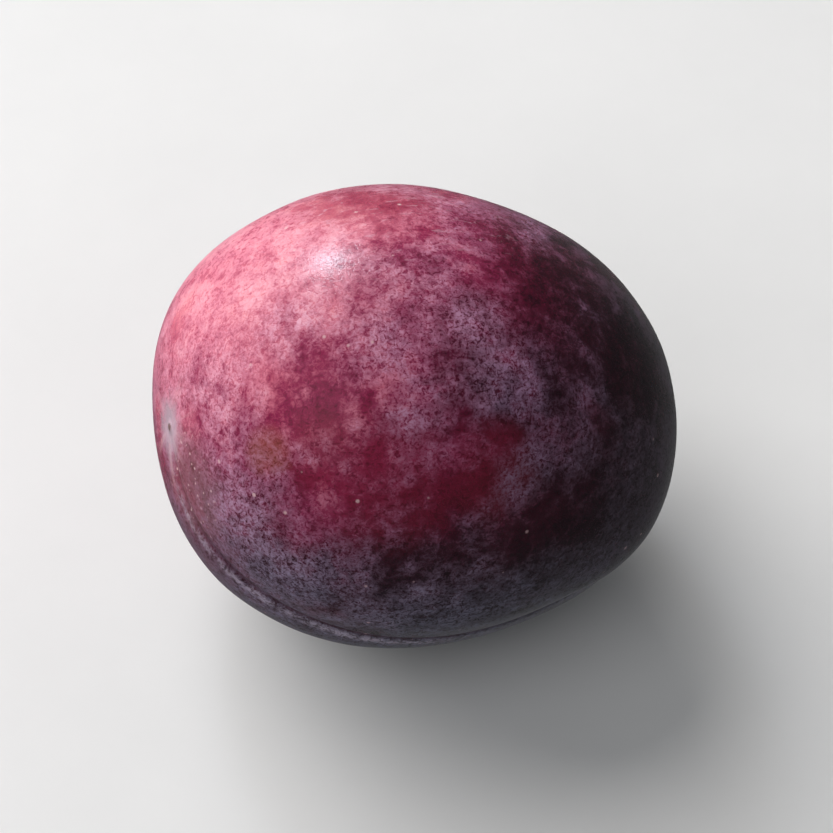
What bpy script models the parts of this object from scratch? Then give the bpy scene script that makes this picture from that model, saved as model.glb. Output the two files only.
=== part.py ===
"""A whole plum lying on its side on a small flat spot, its crease facing the front and its stem end at +X.

The fruit is shaped upright, stem end up and crease towards +X, then turned as it lies and set on z = 0.
"""

from collections import namedtuple
from math import asin, atan2, cos, exp, hypot, pi, radians, sin, tanh

import bpy
from mathutils import Matrix, Vector

# Size of the fruit
LENGTH = 0.0590  # blossom tip to the rim of the stem cavity
DEPTH = 0.0535  # crease to the back
WIDTH = 0.0520  # cheek to cheek

# Body, before the cavity and the crease are pressed in
BODY_LENGTH = 0.0647
BODY_LEAN = radians(6)  # the longest line leans from the stem line, towards the crease at the stem end
BLUNTNESS = 0.0008  # the half towards the blossom end is fuller by about this

# Slow swellings of the grown fruit: where from the stem line, where around from the crease, how high, how wide
Swelling = namedtuple("Swelling", "polar around height spread")
SWELLINGS = (
    Swelling(radians(38), radians(-15), 0.0009, radians(15)),  # near shoulder, beside the crease
    Swelling(radians(40), radians(24), 0.0007, radians(15)),  # far shoulder
    Swelling(radians(95), radians(-8), 0.0003, radians(20)),  # front of the near lobe
    Swelling(radians(46), radians(-145), 0.0004, radians(20)),  # back shoulder
    Swelling(radians(119), radians(180), -0.0006, radians(18)),  # slight hollow of the back
    Swelling(radians(147), radians(157), 0.0004, radians(18)),  # heel behind the blossom end
)

# Blossom end: a blunt tip with a small dimple
TIP_FLATTENING = 0.0030
TIP_SPREAD = radians(30)
DIMPLE_DEPTH = 0.0003
DIMPLE_RADIUS = 0.0016

# Stem cavity
CAVITY_DEPTH = 0.0058
CAVITY_RADIUS = 0.0062
SCAR_RADIUS = 0.0013  # flat floor where the stem let go

# Crease from the stem cavity to just past the blossom tip
CREASE_DEPTH = 0.0004  # towards the blossom end
CREASE_RADIUS = 0.0029  # half of the trough's width
NOTCH_DEPTH = 0.0010  # the crease is deeper by this where it leaves the cavity
NOTCH_PLACE = radians(24)
NOTCH_SPREAD = radians(28)
CREASE_END = radians(176)
CREASE_FADE = radians(22)
LIP_HEIGHT = 0.0004  # the far lobe stands prouder than the near one
LIP_RADIUS = 0.0060

# How it lies
STEM_DIP = radians(14.5)  # the stem end points this far below level
CREASE_DROP = radians(24)  # the crease runs this far below the front
FLAT_DEPTH = 0.00065  # the skin pressed flat by the fruit's weight

# Mesh: meridians gather towards the crease and rings towards both ends
MERIDIANS = 84
RINGS = 56
MERIDIAN_GATHER = 0.6
RING_GATHER = 0.45

SKIN_COLOUR = (0.155, 0.022, 0.050, 1.0)
SKIN_ROUGHNESS = 0.45


def clear_scene():
    for obj in list(bpy.data.objects):
        bpy.data.objects.remove(obj, do_unlink=True)


def bump(distance, spread):
    """1 at the middle, falling smoothly to almost 0 at twice the spread."""
    return exp(-((distance / spread) ** 2))


def ramp(value, start, end):
    """0 at start and 1 at end, with eased ends."""
    share = min(max((value - start) / (end - start), 0.0), 1.0)
    return share * share * (3.0 - 2.0 * share)


def unit_direction(polar, around):
    return Vector((sin(polar) * cos(around), sin(polar) * sin(around), cos(polar)))


def body_radius(direction, polar):
    """Distance from the middle to the body, without its cavity and crease."""
    x = direction.x * cos(BODY_LEAN) - direction.z * sin(BODY_LEAN)
    z = direction.x * sin(BODY_LEAN) + direction.z * cos(BODY_LEAN)
    y = direction.y
    oval = 1.0 / hypot(2 * x / DEPTH, 2 * y / WIDTH, 2 * z / BODY_LENGTH)
    fullness = BLUNTNESS * (5 * z**3 - 3 * z) / 2
    radius = oval + fullness - TIP_FLATTENING * bump(pi - polar, TIP_SPREAD)
    for swelling in SWELLINGS:
        away = direction.angle(unit_direction(swelling.polar, swelling.around))
        radius += swelling.height * bump(away, swelling.spread)
    return radius


def cavity_depth(across):
    """Depth of the stem cavity at a distance across from the stem line."""
    return CAVITY_DEPTH * bump(max(across - SCAR_RADIUS, 0.0), CAVITY_RADIUS - SCAR_RADIUS)


def crease_depth(polar, across, aside):
    """Depth of the crease's trough at a distance aside of its middle, with the lobes' unequal lips."""
    fade = ramp(polar, CREASE_END, CREASE_END - CREASE_FADE) * ramp(across, SCAR_RADIUS, CAVITY_RADIUS)
    notch = NOTCH_DEPTH * bump(polar - NOTCH_PLACE, NOTCH_SPREAD)
    trough = (CREASE_DEPTH + notch) * bump(aside, CREASE_RADIUS)
    step = LIP_HEIGHT / 2 * tanh(aside / CREASE_RADIUS) * bump(aside, LIP_RADIUS)
    return fade * (trough - step)


def skin_point(polar, around):
    """Point of the upright fruit's skin, polar from the stem line and around from the crease."""
    direction = unit_direction(polar, around)
    radius = body_radius(direction, polar)
    across = radius * sin(polar)
    if polar < pi / 2:
        radius -= cavity_depth(across)
    else:
        radius -= DIMPLE_DEPTH * bump(across, DIMPLE_RADIUS)
    if abs(around) < pi / 2:
        radius -= crease_depth(polar, across, across * sin(around))
    return direction * radius


def shape_skin(mesh):
    """Moves a unit sphere's vertices onto the skin, then scales the fruit to its length, depth and width."""
    for vertex in mesh.vertices:
        polar = pi / 2 - asin(max(-1.0, min(1.0, vertex.co.z / vertex.co.length)))
        around = atan2(vertex.co.y, vertex.co.x)
        polar -= RING_GATHER * sin(2 * polar) / 2
        around -= MERIDIAN_GATHER * sin(around)
        vertex.co = skin_point(polar, around)
    for axis, size in enumerate((DEPTH, WIDTH, LENGTH)):
        reach = [vertex.co[axis] for vertex in mesh.vertices]
        scale = size / (max(reach) - min(reach))
        for vertex in mesh.vertices:
            vertex.co[axis] *= scale


def resting_turn():
    """The turn that lays the upright fruit down: its crease to the front, its stem end to +X."""
    stem = Vector((cos(STEM_DIP), 0.0, -sin(STEM_DIP)))
    underside = Vector((-sin(STEM_DIP), 0.0, -cos(STEM_DIP)))
    crease = Vector((0.0, -1.0, 0.0)) * cos(CREASE_DROP) + underside * sin(CREASE_DROP)
    return Matrix((crease, stem.cross(crease), stem)).transposed().to_4x4()


def set_down(mesh):
    """Presses the lowest skin flat, at z = 0, and centres the fruit over the origin."""
    floor = min(vertex.co.z for vertex in mesh.vertices) + FLAT_DEPTH
    for vertex in mesh.vertices:
        vertex.co.z = max(vertex.co.z, floor)
    middle = [0.0, 0.0, floor]
    for axis in (0, 1):
        reach = [vertex.co[axis] for vertex in mesh.vertices]
        middle[axis] = (max(reach) + min(reach)) / 2
    mesh.transform(Matrix.Translation(-Vector(middle)))


def skin_material():
    material = bpy.data.materials.new("plum skin")
    material.use_nodes = True
    shader = material.node_tree.nodes["Principled BSDF"]
    shader.inputs["Base Color"].default_value = SKIN_COLOUR
    shader.inputs["Roughness"].default_value = SKIN_ROUGHNESS
    shader.inputs["Metallic"].default_value = 0.0
    return material


def make_plum(collection):
    bpy.ops.mesh.primitive_uv_sphere_add(segments=MERIDIANS, ring_count=RINGS, radius=1.0)
    plum = bpy.context.object
    plum.name = "plum"
    plum.data.name = "plum"
    shape_skin(plum.data)
    plum.data.transform(resting_turn())
    set_down(plum.data)
    plum.data.shade_smooth()
    plum.data.materials.append(skin_material())
    for owner in list(plum.users_collection):
        owner.objects.unlink(plum)
    collection.objects.link(plum)


def main():
    clear_scene()
    collection = bpy.data.collections.new("plum")
    bpy.context.scene.collection.children.link(collection)
    make_plum(collection)


main()
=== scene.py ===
"""The looks of a whole plum: its fine skin, with bloom, crease, stem cavity and scars, on a pale floor."""

from math import cos, exp, radians, sin

import bpy
from mathutils import Matrix, Vector


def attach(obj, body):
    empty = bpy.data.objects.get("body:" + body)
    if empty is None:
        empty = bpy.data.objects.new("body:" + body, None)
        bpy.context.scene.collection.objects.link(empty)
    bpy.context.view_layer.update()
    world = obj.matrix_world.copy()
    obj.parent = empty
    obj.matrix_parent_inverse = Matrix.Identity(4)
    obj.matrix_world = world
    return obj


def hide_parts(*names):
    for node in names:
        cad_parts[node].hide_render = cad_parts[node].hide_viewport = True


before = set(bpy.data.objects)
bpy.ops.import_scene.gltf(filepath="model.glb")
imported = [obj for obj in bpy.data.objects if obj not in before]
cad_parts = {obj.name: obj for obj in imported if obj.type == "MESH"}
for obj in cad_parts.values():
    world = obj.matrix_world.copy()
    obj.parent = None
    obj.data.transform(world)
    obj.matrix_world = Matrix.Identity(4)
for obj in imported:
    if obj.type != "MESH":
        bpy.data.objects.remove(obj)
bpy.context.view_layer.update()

# The fruit's own axes: its middle, and how it lies, as in the solid
MIDDLE = Vector((-0.0014, -0.0001, 0.0256))
STEM_DIP = radians(14.5)
CREASE_DROP = radians(24)

# Fine mesh made from the solid's triangles
MERGE_DISTANCE = 1e-6
QUAD_BEND = radians(40)
QUAD_SKEW = radians(60)
SUBDIVISIONS = 2
LEAST_SHARE = 0.002  # a form is left out where it has less than this share of its height

# Fine forms of the skin
CREASE_LINE_DEPTH = 0.00022
CREASE_LINE_WIDTH = 0.0006
CREASE_LINE_START = 0.0022  # away from the stem line
CREASE_BOW = 0.0014  # the line bends this far towards the far cheek, just before the blossom end
BOW_PLACE = 0.0105
BOW_SPREAD = 0.0070
SCAR_RIM_RADIUS = 0.0017
SCAR_RIM_WIDTH = 0.0005
SCAR_RIM_HEIGHT = 0.0004
SCAR_PIT_RADIUS = 0.00102
SCAR_PIT_DEPTH = 0.0006
FOLD_COUNT = 11
FOLD_UNEVENNESS = 1.3
FOLD_HEIGHT = 0.00016
FOLD_RADIUS = 0.0036
FOLD_SPREAD = 0.0022
TIP_SCAR_RADIUS = 0.0007
TIP_SCAR_HEIGHT = 0.0003
LUMP_SIZE = 0.011
LUMP_HEIGHT = 0.00022

# Photographed view
VIEW_AZIMUTH = radians(-15)
VIEW_ELEVATION = radians(52)
VIEW_DISTANCE = 0.46
VIEW_WIDTH = 0.096  # width of the frame at the fruit
VIEW_TARGET = Vector((0.0, -0.001, 0.0262))
SENSOR_WIDTH = 36.0  # in millimetres
NEAREST_SEEN = 0.01

# Stage
FLOOR_SIZE = 8.0
FLOOR_GRAIN_SIZE = 0.03
FLOOR_ROUGHNESS = 0.75
WINDOW_TINT = (1.0, 0.98, 0.96)
LAMP_TINT = (0.82, 0.90, 1.0)
FILL_TINT = (0.98, 0.99, 1.0)
ROOM_LIGHT = 0.19


def fruit_axes():
    """Unit directions of the crease, of the far cheek and of the stem, as the fruit lies."""
    stem = Vector((cos(STEM_DIP), 0.0, -sin(STEM_DIP)))
    underside = Vector((-sin(STEM_DIP), 0.0, -cos(STEM_DIP)))
    crease = Vector((0.0, -1.0, 0.0)) * cos(CREASE_DROP) + underside * sin(CREASE_DROP)
    return crease, stem.cross(crease), stem


CREASE, CHEEK, STEM = fruit_axes()


def place(polar, around):
    """Direction from the fruit's middle: degrees from the stem, and degrees around from the crease."""
    polar = radians(polar)
    around = radians(around)
    return CREASE * sin(polar) * cos(around) + CHEEK * sin(polar) * sin(around) + STEM * cos(polar)


def bump(distance, spread):
    """1 where the distance is 0, falling smoothly to almost 0 at twice the spread."""
    return exp(-((distance / spread) ** 2))


# Skin mesh


def deselect_all():
    bpy.ops.object.select_all(action="DESELECT")


def make_active(piece):
    deselect_all()
    piece.select_set(True)
    bpy.context.view_layer.objects.active = piece


def apply_modifier(piece, kind, **settings):
    modifier = piece.modifiers.new(kind.title(), kind)
    for name, value in settings.items():
        setattr(modifier, name, value)
    make_active(piece)
    bpy.ops.object.modifier_apply(modifier=modifier.name)


def smooth_copy(node_name, piece_name):
    """A merged copy of a solid's loose triangles, as quads, with a finer rounded surface."""
    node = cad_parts[node_name]
    piece = bpy.data.objects.new(piece_name, node.data.copy())
    bpy.context.scene.collection.objects.link(piece)
    make_active(piece)
    piece.data.materials.clear()
    if piece.data.has_custom_normals:
        bpy.ops.mesh.customdata_custom_splitnormals_clear()
    bpy.ops.object.mode_set(mode="EDIT")
    bpy.ops.mesh.select_all(action="SELECT")
    bpy.ops.mesh.remove_doubles(threshold=MERGE_DISTANCE)
    bpy.ops.mesh.tris_convert_to_quads(face_threshold=QUAD_BEND, shape_threshold=QUAD_SKEW)
    bpy.ops.mesh.normals_make_consistent(inside=False)
    bpy.ops.object.mode_set(mode="OBJECT")
    apply_modifier(piece, "SUBSURF", levels=SUBDIVISIONS, render_levels=SUBDIVISIONS)
    return piece


def fruit_place(point):
    """How far a point lies from the fruit's middle, along its crease, cheek and stem directions."""
    away = Vector(point) - MIDDLE
    return away.dot(CREASE), away.dot(CHEEK), away.dot(STEM)


def raise_skin(piece, name, height, share_at):
    """Raises the skin along its normals by a share of the height, which share_at gives for each vertex."""
    group = piece.vertex_groups.new(name=name)
    for vertex in piece.data.vertices:
        share = share_at(*fruit_place(vertex.co))
        if share > LEAST_SHARE:
            group.add([vertex.index], min(share, 1.0), "REPLACE")
    apply_modifier(piece, "DISPLACE", vertex_group=name, strength=height, mid_level=0.0)


def crease_line(crease, cheek, stem):
    """The fine line at the bottom of the crease, from the stem's scar to the blossom tip."""
    if crease < 0.0:
        return 0.0
    start = 1.0 - bump(crease, CREASE_LINE_START)
    bow = CREASE_BOW * bump(crease - BOW_PLACE, BOW_SPREAD) if stem < 0.0 else 0.0
    return bump(cheek - bow, CREASE_LINE_WIDTH) * start


def scar_rim(crease, cheek, stem):
    across = (crease**2 + cheek**2) ** 0.5
    return bump(across - SCAR_RIM_RADIUS, SCAR_RIM_WIDTH) if stem > 0.0 else 0.0


def scar_pit(crease, cheek, stem):
    across = (crease**2 + cheek**2) ** 0.5
    return bump(across, SCAR_PIT_RADIUS) if stem > 0.0 else 0.0


def cavity_folds(crease, cheek, stem):
    """Small folds that run up the cavity's wall from the scar."""
    if stem < 0.0:
        return 0.0
    across = (crease**2 + cheek**2) ** 0.5
    around = Vector((crease, cheek)).angle_signed(Vector((1.0, 0.0))) if across > 0.0 else 0.0
    wave = 0.5 + 0.5 * cos(FOLD_COUNT * around + FOLD_UNEVENNESS * sin(3 * around))
    return wave * bump(across - FOLD_RADIUS, FOLD_SPREAD)


def tip_scar(crease, cheek, stem):
    across = (crease**2 + cheek**2) ** 0.5
    return bump(across, TIP_SCAR_RADIUS) if stem < 0.0 else 0.0


def make_skin():
    skin = smooth_copy("plum", "plum_skin")
    lumps = bpy.data.textures.new("slow lumps", "CLOUDS")
    lumps.noise_scale = LUMP_SIZE
    lumps.noise_depth = 1
    lay = {"strength": LUMP_HEIGHT, "mid_level": 0.5, "texture_coords": "LOCAL"}
    apply_modifier(skin, "DISPLACE", texture=lumps, **lay)
    raise_skin(skin, "crease line", -CREASE_LINE_DEPTH, crease_line)
    raise_skin(skin, "scar rim", SCAR_RIM_HEIGHT, scar_rim)
    raise_skin(skin, "scar pit", -SCAR_PIT_DEPTH, scar_pit)
    raise_skin(skin, "cavity folds", FOLD_HEIGHT, cavity_folds)
    raise_skin(skin, "tip scar", TIP_SCAR_HEIGHT, tip_scar)
    for vertex in skin.data.vertices:
        vertex.co.z = max(vertex.co.z, 0.0)
    skin.vertex_groups.clear()
    skin.data.shade_smooth()
    return skin


# Materials


class Wire:
    """A node's output, on which Python's operators add Math nodes."""

    def __init__(self, recipe, socket):
        self.recipe = recipe
        self.socket = socket

    def math(self, operation, *values):
        return self.recipe.node("ShaderNodeMath", {"operation": operation}, dict(enumerate(values)))

    def larger(self, other):
        return self.math("MAXIMUM", self, other)

    def __abs__(self):
        return self.math("ABSOLUTE", self)

    def __add__(self, other):
        return self.math("ADD", self, other)

    def __sub__(self, other):
        return self.math("SUBTRACT", self, other)

    def __rsub__(self, other):
        return self.math("SUBTRACT", other, self)

    def __mul__(self, other):
        return self.math("MULTIPLY", self, other)

    def __truediv__(self, other):
        return self.math("DIVIDE", self, other)

    def __pow__(self, other):
        return self.math("POWER", self, other)

    __radd__ = __add__
    __rmul__ = __mul__


class Recipe:
    """One material's nodes."""

    def __init__(self, name):
        self.material = bpy.data.materials.new(name)
        self.material.use_nodes = True
        self.tree = self.material.node_tree
        self.shader = self.tree.nodes["Principled BSDF"]

    def put(self, socket, value):
        if isinstance(value, Wire):
            self.tree.links.new(value.socket, socket)
        else:
            socket.default_value = value

    def node(self, kind, settings=None, inputs=None, output=0):
        made = self.tree.nodes.new(kind)
        for name, value in (settings or {}).items():
            if name == "stops":
                self.set_stops(made.color_ramp, value)
            else:
                setattr(made, name, value)
        for name, value in (inputs or {}).items():
            self.put(made.inputs[name], value)
        return Wire(self, made.outputs[output])

    def set_stops(self, ramp, stops):
        while len(ramp.elements) < len(stops):
            ramp.elements.new(0.5)
        for element, (position, colour) in zip(ramp.elements, stops):
            element.position = position
            element.color = colour

    def set(self, **values):
        """Sets the shader's sockets: words in a name are joined by underscores."""
        for name, value in values.items():
            self.put(self.shader.inputs[name.replace("_", " ")], value)

    def where(self):
        return self.node("ShaderNodeTexCoord", output="Object")

    def vector(self, operation, first, second=None, output=0):
        inputs = {0: first}
        if second is not None:
            inputs[1] = second
        return self.node("ShaderNodeVectorMath", {"operation": operation}, inputs, output)

    def dot(self, first, direction):
        return self.vector("DOT_PRODUCT", first, direction, "Value")

    def noise(self, where, size, detail=2.0, roughness=0.5, distortion=0.0):
        """Noise from 0 to 1 whose forms are about size metres wide."""
        inputs = {"Vector": where, "Scale": 1 / size, "Detail": detail}
        inputs |= {"Roughness": roughness, "Distortion": distortion}
        return self.node("ShaderNodeTexNoise", None, inputs, "Fac")

    def ease(self, value, start, end, low=0.0, high=1.0):
        """low below start, high above end and eased between."""
        inputs = {"Value": value, "From Min": start, "From Max": end, "To Min": low, "To Max": high}
        return self.node("ShaderNodeMapRange", {"interpolation_type": "SMOOTHSTEP"}, inputs)

    def ramp(self, value, stops):
        return self.node("ShaderNodeValToRGB", {"stops": stops}, {"Fac": value}, "Color")

    def specks(self, where, spacing, fewest, most, radius):
        """Small round specks, about spacing metres apart, whose radius is up to a share of the spacing.

        Each cell picks a number: it has no speck below fewest, and a full one above most."""
        cells = {"Vector": where, "Scale": 1 / spacing}
        pick = self.node("ShaderNodeTexVoronoi", None, cells, "Color")
        strength = self.ease(self.dot(pick, (1.0, 0.0, 0.0)), fewest, most)
        distance = self.node("ShaderNodeTexVoronoi", None, cells, "Distance")
        return self.ease(distance / (strength * radius + 0.01), 1.0, 0.4) * strength

    def mix(self, share, first, second, blend="MIX"):
        settings = {"data_type": "RGBA", "blend_type": blend}
        return self.node("ShaderNodeMix", settings, {0: share, 6: first, 7: second}, 2)


def colour(red, green, blue):
    return (red, green, blue, 1.0)


# Skin under the bloom, from purple black to the pale red blush: the dark end is partly painted shade on
# the side away from the light, the pale end partly painted light on the blush
SKIN_STOPS = (
    (0.00, colour(0.008, 0.003, 0.006)),
    (0.28, colour(0.016, 0.003, 0.008)),
    (0.45, colour(0.047, 0.005, 0.015)),
    (0.60, colour(0.135, 0.008, 0.034)),
    (0.74, colour(0.290, 0.022, 0.080)),
    (0.90, colour(0.620, 0.140, 0.215)),
    (1.00, colour(0.800, 0.260, 0.310)),
)
# The blush faces the key light: towards it the skin is its own blush and also painted light, away from it
# darker as painted shade
BLUSH_AND_PAINTED_LIGHT_PLACE = (138, -141)
# Direction of the underside: the darker skin there is painted shade, the blue grey bloom there a painted
# reflection of the floor
SHADED_SIDE = (-0.45, -0.40, -1.0)

# Bloom, the powdery wax: its colour on the dark side, darker there partly as painted shade, on the flesh
# of the fruit and on the blush, paler there partly as painted light
DUST_STOPS = (
    (0.00, colour(0.058, 0.048, 0.064)),
    (0.35, colour(0.135, 0.110, 0.162)),
    (0.58, colour(0.375, 0.235, 0.390)),
    (0.78, colour(0.610, 0.335, 0.510)),
    (1.00, colour(0.880, 0.470, 0.590)),
)
DUST_SHARE = 0.70

# Sizes of the skin's noises, from the slowest to the finest
BROAD_SIZE = 0.012
PATCH_SIZE = 0.0050
MOTTLE_SIZE = 0.0017
SCUFF_SIZE = 0.0008
STROKE_SIZE = 0.0006
STIPPLE_SIZE = 0.00050
RAY_SIZE = 0.00035  # 1 mm away from the stem line
GRAIN_SIZE = 0.00022

# Specks: the fruit's pale dots, and the grit in the russet
DOT_SPACING = 0.0026
DOT_RADIUS = 0.12  # share of the spacing
GRIT_SPACING = 0.00062
GRIT_RADIUS = 0.36

# Patches, each by its place and its radius in degrees
# Rubbed patches of thin bloom that show the dark skin; those at (43, -89), (55, -114) and (103, -134) are
# also painted shade, on the dark edge and where neighbouring plums shaded the fruit
RUBBED_AND_SHADED_PATCHES = (
    ((110, -54), 14),
    ((126, -52), 8),
    ((97, -60), 8),
    ((66, -104), 16),
    ((130, -83), 11),
    ((43, -89), 9),
    ((77, -43), 9),
    ((64, -45), 7),
    ((103, -134), 10),
    ((124, -75), 7),
    ((108, -35), 6),
    ((87, -67), 5),
    ((55, -114), 10),
    ((70, 120), 18),
    ((118, 95), 14),
    ((90, 40), 12),
)
# Crimson skin; the one on the upper edge at (104, -146) is partly a crimson streak and partly painted
# shade from the neighbouring plums
CRIMSON_PATCHES = (
    ((114, -58), 12),
    ((128, -64), 7),
    ((89, -60), 9),
    ((104, -146), 13),
    ((116, 84), 12),
)
POWDERED_PATCHES = (
    ((117, -92), 7),
    ((110, -76), 6),
    ((133, -102), 6),
    ((88, -98), 6),
    ((80, -84), 9),
    ((80, -58), 6),
    ((139, -28), 13),
    ((60, 160), 16),
)
# Darker skin: mostly the fruit's own tone; the one at (58, -104) is painted shade where neighbouring plums
# shaded the upper right edge
DARK_AND_SHADED_PATCHES = (
    ((58, -104), 19),
    ((106, -109), 11),
    ((94, -97), 9),
    ((93, -79), 9),
    ((127, -88), 8),
    ((150, -52), 13),
    ((108, -35), 7),
    ((133, -22), 8),
    ((158, -96), 9),
)
OCHRE_PATCHES = (((142, -64), 4), ((104, 102), 6))
RUSSET_PATCH = ((165, -16), 9)
SCUFFED_PATCH = ((100, -148), 24)
PATCH_FADE = 1.8  # a patch has faded out at this many times its radius

# Painted widths and distances from the stem line, each from where it starts to where it is full
CREASE_PAINT = (0.0006, 0.0001)
LIP_PLACE = 0.0012  # aside of the crease line
LIP_PAINT = (0.0010, 0.0002)
CAVITY_RED_REACH = (0.0092, 0.0036)
CAVITY_BROWN_REACH = (0.0042, 0.0018)
SCAR_REACH = (0.0022, 0.0014)
TIP_RAY_REACH = (0.0090, 0.0020)
TIP_GREY_REACH = (0.0046, 0.0008)
TIP_SCAR_REACH = (0.0007, 0.0003)

FLESH_OCHRE = colour(0.360, 0.110, 0.035)
RUSSET = colour(0.250, 0.115, 0.120)
CRIMSON = colour(0.240, 0.016, 0.037)
SCAR_BROWN = colour(0.120, 0.060, 0.032)
SCAR_TAN = colour(0.260, 0.170, 0.090)
CAVITY_RED = colour(0.095, 0.016, 0.020)
CAVITY_BROWN = colour(0.115, 0.054, 0.025)
# Painted shade at the bottom of the crease
CREASE_PAINTED_SHADE = colour(0.050, 0.012, 0.024)
# Pale bloom with a painted highlight along the crease's lip
CREASE_LIP_BLOOM_AND_HIGHLIGHT = colour(0.470, 0.410, 0.510)
SCUFF_PINK = colour(0.700, 0.460, 0.560)
PORE_TINT = colour(0.460, 0.220, 0.380)
PALE_DOT = colour(0.780, 0.520, 0.540)
TIP_GREY = colour(0.500, 0.410, 0.480)
# Painted reflection of the pale floor in the bloom on the underside
FLOOR_REFLECTION_BLUE_GREY = colour(0.210, 0.222, 0.315)

BARE_ROUGHNESS = 0.26
BUMP_DEPTH = 0.00008


class SkinPlaces:
    """Where a point of the skin lies on the fruit, and the noises that every layer shares."""

    def __init__(self, recipe):
        self.recipe = recipe
        self.away = recipe.vector("SUBTRACT", recipe.where(), MIDDLE)
        self.facing = recipe.vector("NORMALIZE", self.away)
        self.fore = recipe.dot(self.away, CREASE)
        self.aside = recipe.dot(self.away, CHEEK)
        self.along = recipe.dot(self.away, STEM)
        self.across = (self.fore**2 + self.aside**2) ** 0.5
        self.broad = recipe.noise(self.away, BROAD_SIZE, 3, 0.5)
        self.patchy = recipe.noise(self.away, PATCH_SIZE, 3, 0.5, 0.4)
        self.mottle = recipe.noise(self.away, MOTTLE_SIZE, 4, 0.6, 0.5)
        self.stipple = recipe.noise(self.away, STIPPLE_SIZE, 3, 0.6, 1.0)
        self.grain = recipe.noise(self.away, GRAIN_SIZE, 2, 0.6)
        # Facing towards the blush, which is also the side painted lighter as painted light
        self.blush_and_painted_light = recipe.dot(self.facing, place(*BLUSH_AND_PAINTED_LIGHT_PLACE))
        # The underside, painted darker as painted shade and blue grey as a painted floor reflection
        self.below = recipe.ease(recipe.dot(self.facing, SHADED_SIDE), -0.15, 0.75)
        self.wander = (self.patchy - 0.5) * 1.1 + (self.mottle - 0.5) * 0.35
        self.rays = self.fanned_lines()

    def spot(self, patch):
        """1 in the middle of a round patch, fading past its radius along an edge that wanders."""
        where, radius = patch
        reach = 1 - cos(radians(radius * PATCH_FADE))
        far = (1 - self.recipe.dot(self.facing, place(*where))) / reach + self.wander
        return self.recipe.ease(far, 1.0, 0.0)

    def spots(self, patches):
        found = self.spot(patches[0])
        for patch in patches[1:]:
            found = found.larger(self.spot(patch))
        return found

    def strokes(self, size, fore, aside, along):
        """Fine marks, drawn out along each of the fruit's axes by its share."""
        parts = {0: self.fore / fore, 1: self.aside / aside, 2: self.along / along}
        return self.recipe.noise(self.recipe.node("ShaderNodeCombineXYZ", None, parts), size, 3, 0.65, 0.8)

    def fanned_lines(self):
        """Fine lines that fan out from both ends of the fruit."""
        across = self.across + 0.0002
        parts = {0: self.fore / across * 0.001, 1: self.aside / across * 0.001, 2: self.along * 0.05}
        return self.recipe.noise(self.recipe.node("ShaderNodeCombineXYZ", None, parts), RAY_SIZE, 3, 0.65)


def bare_skin(recipe, at):
    """Colour of the skin under the bloom: its own blush and dark tones, with painted light towards the
    blush and painted shade away from it, underneath and in some of the dark patches.
    """
    ripe = 0.50 + at.blush_and_painted_light * 0.44 - at.spots(DARK_AND_SHADED_PATCHES) * 0.09 - at.below * 0.08
    ripe = ripe + (at.broad - 0.5) * 0.20 + (at.patchy - 0.5) * 0.24 + (at.mottle - 0.5) * 0.32
    ripe = ripe + (at.stipple - 0.5) * 0.28
    skin = recipe.ramp(ripe, SKIN_STOPS)
    skin = recipe.mix(at.spots(CRIMSON_PATCHES) * 0.40, skin, CRIMSON)
    return recipe.mix(at.spots(OCHRE_PATCHES) * 0.4, skin, FLESH_OCHRE)


def bloom_cover(recipe, at):
    """How thickly the bloom lies: soft veils, thinner where rubbed and in a few patches of painted shade,
    broken by a stipple and by strokes.
    """
    rubbed_and_shaded = recipe.ease(at.broad, 0.56, 0.68).larger(at.spots(RUBBED_AND_SHADED_PATCHES))
    # Thicker bloom on the underside, which together with the blue grey there paints the floor's reflection
    veil = 0.42 + at.spots(POWDERED_PATCHES) * 0.30 + at.below * 0.12 - rubbed_and_shaded * 0.36
    veil = veil + (at.patchy - 0.5) * 1.0 + (at.mottle - 0.5) * 0.9
    veil = veil - recipe.ease(recipe.dot(at.facing, STEM), -0.25, 0.55) * 0.03
    strokes = at.strokes(STROKE_SIZE, 1.0, 1.0, 4.5) * 0.5 + at.strokes(STROKE_SIZE, 4.0, 1.0, 1.0) * 0.5
    fine = at.stipple * 0.50 + strokes * 0.35 + at.grain * 0.15
    flakes = recipe.ease(fine, 0.38, 0.62, 0.0, 1.45)
    return recipe.ease(veil, -0.05, 1.05) * flakes


def dust_colour(recipe, at):
    """Colour of the bloom: lilac on the flesh, pink on the blush, darker away from it as painted shade,
    and blue grey on the underside as a painted reflection of the floor.
    """
    dust = recipe.ramp(at.blush_and_painted_light * 0.45 + 0.5 + (at.patchy - 0.5) * 0.2, DUST_STOPS)
    return recipe.mix(at.below * 0.75, dust, FLOOR_REFLECTION_BLUE_GREY)


def add_pores(recipe, pores, surface):
    dark = recipe.mix(1.0, surface, PORE_TINT, "MULTIPLY")
    return recipe.mix(pores * 0.6, surface, dark)


def add_scuffs(recipe, at, surface):
    """Pale strokes along the back."""
    scuffs = recipe.ease(at.strokes(SCUFF_SIZE, 1.0, 1.0, 4.0) + (at.mottle - 0.5) * 0.3, 0.58, 0.70)
    return recipe.mix(at.spot(SCUFFED_PATCH) * scuffs * 0.4, surface, SCUFF_PINK)


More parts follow.
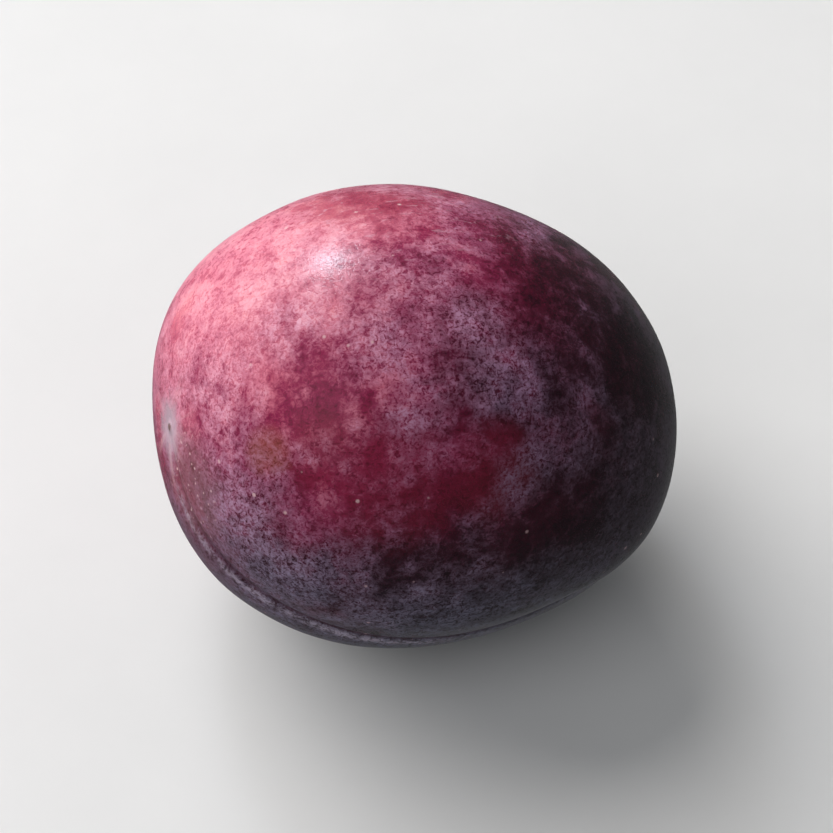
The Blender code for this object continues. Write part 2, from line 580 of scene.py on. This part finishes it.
def add_crease(recipe, at, surface):
    """A thin dark line of painted shade in the crease, with a paler lip on the prouder lobe that is partly
    bloom and partly a painted highlight.
    """
    bow = recipe.ease(abs(at.fore - BOW_PLACE), BOW_SPREAD * 1.8, 0.0, 0.0, CREASE_BOW)
    beside = at.aside - bow * recipe.ease(at.along, 0.004, -0.004)
    on_crease = recipe.ease(at.fore, 0.002, 0.008)
    line = recipe.ease(abs(beside), *CREASE_PAINT) * on_crease
    lip = recipe.ease(abs(beside - LIP_PLACE), *LIP_PAINT) * on_crease
    lip = lip * recipe.ease(at.mottle, 0.32, 0.62) * recipe.ease(at.stipple, 0.36, 0.56, 0.25, 1.0)
    lip = lip * recipe.ease(at.along, 0.012, -0.010, 0.25, 1.0)
    # The lip: pale bloom with a painted highlight
    surface = recipe.mix(lip * 0.62, surface, CREASE_LIP_BLOOM_AND_HIGHLIGHT)
    # The line: painted shade in the crease
    return recipe.mix(line * 0.5, surface, CREASE_PAINTED_SHADE)


def add_cavity(recipe, at, surface):
    """The stem cavity's red and brown rings, and the scar where the stem let go."""
    at_stem = recipe.ease(at.along, 0.010, 0.016)
    reach = at.across + (at.patchy - 0.5) * 0.004 + (at.rays - 0.5) * 0.003
    surface = recipe.mix(recipe.ease(reach, *CAVITY_RED_REACH) * at_stem * 0.70, surface, CAVITY_RED)
    surface = recipe.mix(recipe.ease(reach, *CAVITY_BROWN_REACH) * at_stem * 0.75, surface, CAVITY_BROWN)
    scar = recipe.ease(at.across, *SCAR_REACH) * at_stem
    return recipe.mix(scar, surface, recipe.mix(at.stipple, SCAR_BROWN, SCAR_TAN))


def add_blossom_end(recipe, at, surface):
    """A soft grey patch with pale rays and a small scar."""
    at_tip = recipe.ease(at.along, -0.018, -0.024)
    ray = recipe.ease(at.rays, 0.52, 0.66) * recipe.ease(at.across, *TIP_RAY_REACH) * at_tip
    surface = recipe.mix(ray * 0.35, surface, PALE_DOT)
    grey = recipe.ease(at.across + (at.mottle - 0.5) * 0.004, *TIP_GREY_REACH) * at_tip
    surface = recipe.mix(grey * 0.75, surface, TIP_GREY)
    scar = recipe.ease(at.across + (at.stipple - 0.5) * 0.0006, *TIP_SCAR_REACH) * at_tip
    return recipe.mix(scar * 0.8, surface, SCAR_BROWN)


def skin_material():
    recipe = Recipe("plum skin with bloom")
    at = SkinPlaces(recipe)
    bloom = bloom_cover(recipe, at)
    pores = recipe.ease(at.stipple * 0.7 + at.grain * 0.3, 0.47, 0.38) * recipe.ease(at.blush_and_painted_light, 1.05, 0.55)
    surface = recipe.mix(bloom * DUST_SHARE, bare_skin(recipe, at), dust_colour(recipe, at))
    surface = add_pores(recipe, pores, surface)
    surface = add_scuffs(recipe, at, surface)
    surface = add_crease(recipe, at, surface)

    # Russet beside the crease, by the blossom end
    russet = at.spot(RUSSET_PATCH)
    grit = russet * recipe.specks(at.away, GRIT_SPACING, 0.15, 0.95, GRIT_RADIUS)
    surface = recipe.mix(russet * 0.40, surface, RUSSET)
    surface = recipe.mix(grit * 0.80, surface, PALE_DOT)

    surface = add_cavity(recipe, at, surface)
    surface = add_blossom_end(recipe, at, surface)
    dots = recipe.specks(at.away, DOT_SPACING, 0.55, 1.0, DOT_RADIUS)
    surface = recipe.mix(dots * recipe.ease(at.blush_and_painted_light, -0.5, 0.7, 0.38, 0.75), surface, PALE_DOT)

    roughness = BARE_ROUGHNESS + bloom * 0.12 + pores * 0.12
    height = at.stipple * 0.8 + at.mottle * 0.8 + at.grain * 0.2 + dots * 0.3 + grit * 0.6
    relief = {"Strength": 0.5, "Distance": BUMP_DEPTH, "Height": height}
    normal = recipe.node("ShaderNodeBump", None, relief)
    recipe.set(Base_Color=surface, Roughness=roughness, Normal=normal, IOR=1.40, Specular_IOR_Level=0.24)
    recipe.set(Subsurface_Weight=0.08, Subsurface_Radius=(1.0, 0.25, 0.20), Subsurface_Scale=0.0012)
    return recipe.material


def floor_material():
    recipe = Recipe("pale floor")
    grain = recipe.noise(recipe.where(), FLOOR_GRAIN_SIZE, 4, 0.6)
    stops = ((0.3, colour(0.75, 0.75, 0.75)), (0.7, colour(0.78, 0.78, 0.78)))
    recipe.set(Base_Color=recipe.ramp(grain, stops), Roughness=FLOOR_ROUGHNESS)
    return recipe.material


# Stage


def make_floor():
    deselect_all()
    bpy.ops.mesh.primitive_plane_add(size=FLOOR_SIZE)
    floor = bpy.context.object
    floor.name = "floor"
    floor.data.materials.append(floor_material())
    floor.visible_glossy = False


def view_axes():
    """Right, up and back directions of the photographed view."""
    level = Vector((sin(VIEW_AZIMUTH), -cos(VIEW_AZIMUTH), 0.0))
    back = level * cos(VIEW_ELEVATION) + Vector((0.0, 0.0, sin(VIEW_ELEVATION)))
    right = Vector((cos(VIEW_AZIMUTH), sin(VIEW_AZIMUTH), 0.0))
    return right, back.cross(right), back


def in_view(right, up, back):
    """A direction given by its shares to the right of, up in and towards the photographed view."""
    axes = view_axes()
    return (axes[0] * right + axes[1] * up + axes[2] * back).normalized()


def make_softbox(name, direction, distance, size, power, tint):
    """A round soft light, size metres wide and power watts strong, that faces the fruit."""
    data = bpy.data.lights.new(name, "AREA")
    data.shape = "DISK"
    data.size = size
    data.energy = power
    data.color = tint
    light = bpy.data.objects.new(name, data)
    light.location = VIEW_TARGET + direction * distance
    light.rotation_euler = direction.to_track_quat("Z", "Y").to_euler()
    bpy.context.scene.collection.objects.link(light)
    return light


def light_stage():
    """A wide window light for the shading, a small lamp for the highlight, and a soft fill."""
    window = make_softbox("window light", in_view(-0.56, 0.80, 0.10), 1.1, 1.40, 20.0, WINDOW_TINT)
    window.visible_glossy = False
    lamp = make_softbox("lamp", in_view(-0.27, 0.95, 0.12), 1.2, 0.20, 16.5, LAMP_TINT)
    lamp.visible_diffuse = False
    make_softbox("soft fill", in_view(-0.45, 0.10, 0.90), 1.3, 1.0, 3.6, FILL_TINT)
    world = bpy.data.worlds.new("pale room")
    world.use_nodes = True
    background = world.node_tree.nodes["Background"]
    background.inputs["Color"].default_value = colour(0.96, 0.98, 1.0)
    background.inputs["Strength"].default_value = ROOM_LIGHT
    bpy.context.scene.world = world
    bpy.context.scene.view_settings.view_transform = "Standard"


def make_camera():
    data = bpy.data.cameras.new("camera")
    data.sensor_width = SENSOR_WIDTH
    data.lens = SENSOR_WIDTH / 2 * VIEW_DISTANCE / (VIEW_WIDTH / 2)
    data.clip_start = NEAREST_SEEN
    camera = bpy.data.objects.new("camera", data)
    right, up, back = view_axes()
    turn = Matrix((right, up, back)).transposed().to_4x4()
    camera.matrix_world = Matrix.Translation(VIEW_TARGET + back * VIEW_DISTANCE) @ turn
    bpy.context.scene.collection.objects.link(camera)
    bpy.context.scene.camera = camera


def main():
    make_camera()
    light_stage()
    make_floor()
    skin = make_skin()
    skin.data.materials.append(skin_material())
    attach(skin, "root")
    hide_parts("plum")


main()
